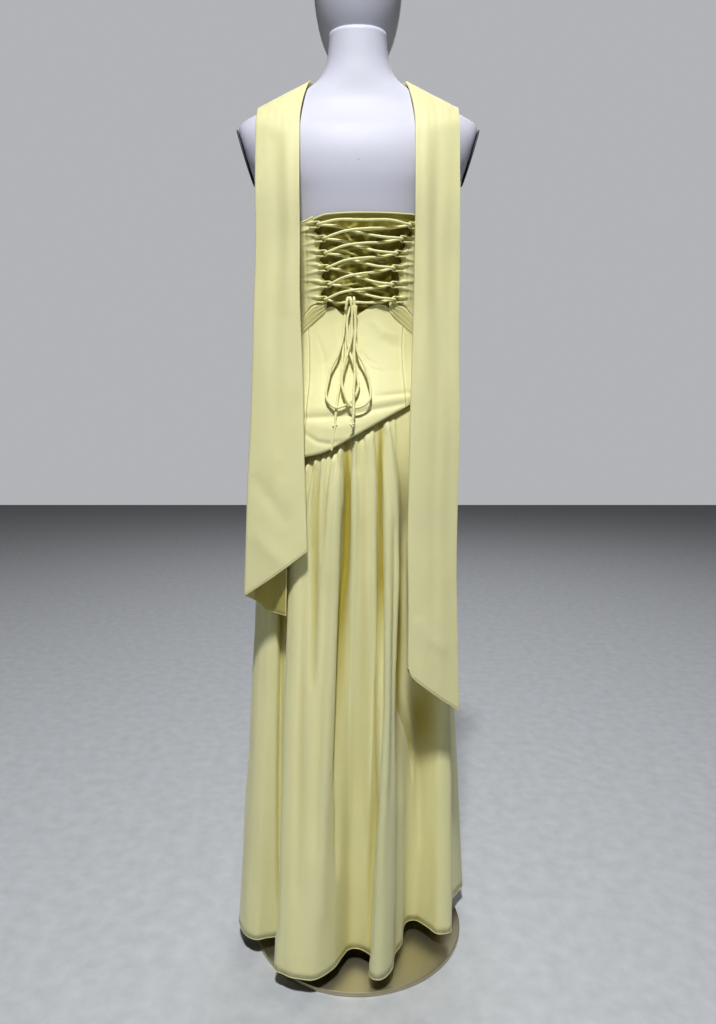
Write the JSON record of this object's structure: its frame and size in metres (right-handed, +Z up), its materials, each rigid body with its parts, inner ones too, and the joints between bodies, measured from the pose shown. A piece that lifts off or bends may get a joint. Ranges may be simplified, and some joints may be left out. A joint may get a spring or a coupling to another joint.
{
  "type": "strapless maxi dress with a long scarf on a limbless dress form",
  "caption": "Strapless maxi dress with laced back, slanted hip yoke, gathered skirt and draped scarf, on a limbless dress form with a round base.",
  "frame": {"origin": "middle of the underside of the round base plate, on the floor", "axes": "+Z up along the pole, -Y out of the laced back of the dress, +X to the wearer's right"},
  "size_m": [0.4284, 0.4002, 1.806],
  "materials": {
    "yellow_satin": "soft satin",
    "form_shell": "smooth pale lavender white",
    "socket_plate": "dark grey",
    "stand_steel": "polished"
  },
  "bodies": {
    "root": {"form_torso": "form_shell", "form_head": "form_shell", "form_socket_left": "socket_plate", "form_socket_right": "socket_plate", "stand_base": "stand_steel", "stand_pole": "stand_steel", "corset_front": "yellow_satin", "corset_back_left": "yellow_satin", "corset_back_right": "yellow_satin", "waist_band_left": "yellow_satin", "waist_band_right": "yellow_satin", "modesty_panel": "yellow_satin", "yoke_back": "yellow_satin", "yoke_side_left": "yellow_satin", "yoke_side_right": "yellow_satin", "yoke_front": "yellow_satin", "skirt_back": "yellow_satin", "skirt_front": "yellow_satin", "scarf_fall_left": "yellow_satin", "scarf_fall_right": "yellow_satin", "scarf_front": "yellow_satin", "lace_loop_left_1": "yellow_satin", "lace_loop_left_2": "yellow_satin", "lace_loop_left_3": "yellow_satin", "lace_loop_left_4": "yellow_satin", "lace_loop_left_5": "yellow_satin", "lace_loop_left_6": "yellow_satin", "lace_loop_right_1": "yellow_satin", "lace_loop_right_2": "yellow_satin", "lace_loop_right_3": "yellow_satin", "lace_loop_right_4": "yellow_satin", "lace_loop_right_5": "yellow_satin", "lace_loop_right_6": "yellow_satin", "lace_crossing": "yellow_satin", "bow_knot": "yellow_satin", "bow_loop_left": "yellow_satin", "bow_loop_right": "yellow_satin", "lace_tail_left": "yellow_satin", "lace_tail_right": "yellow_satin"}
  },
  "joints": []
}
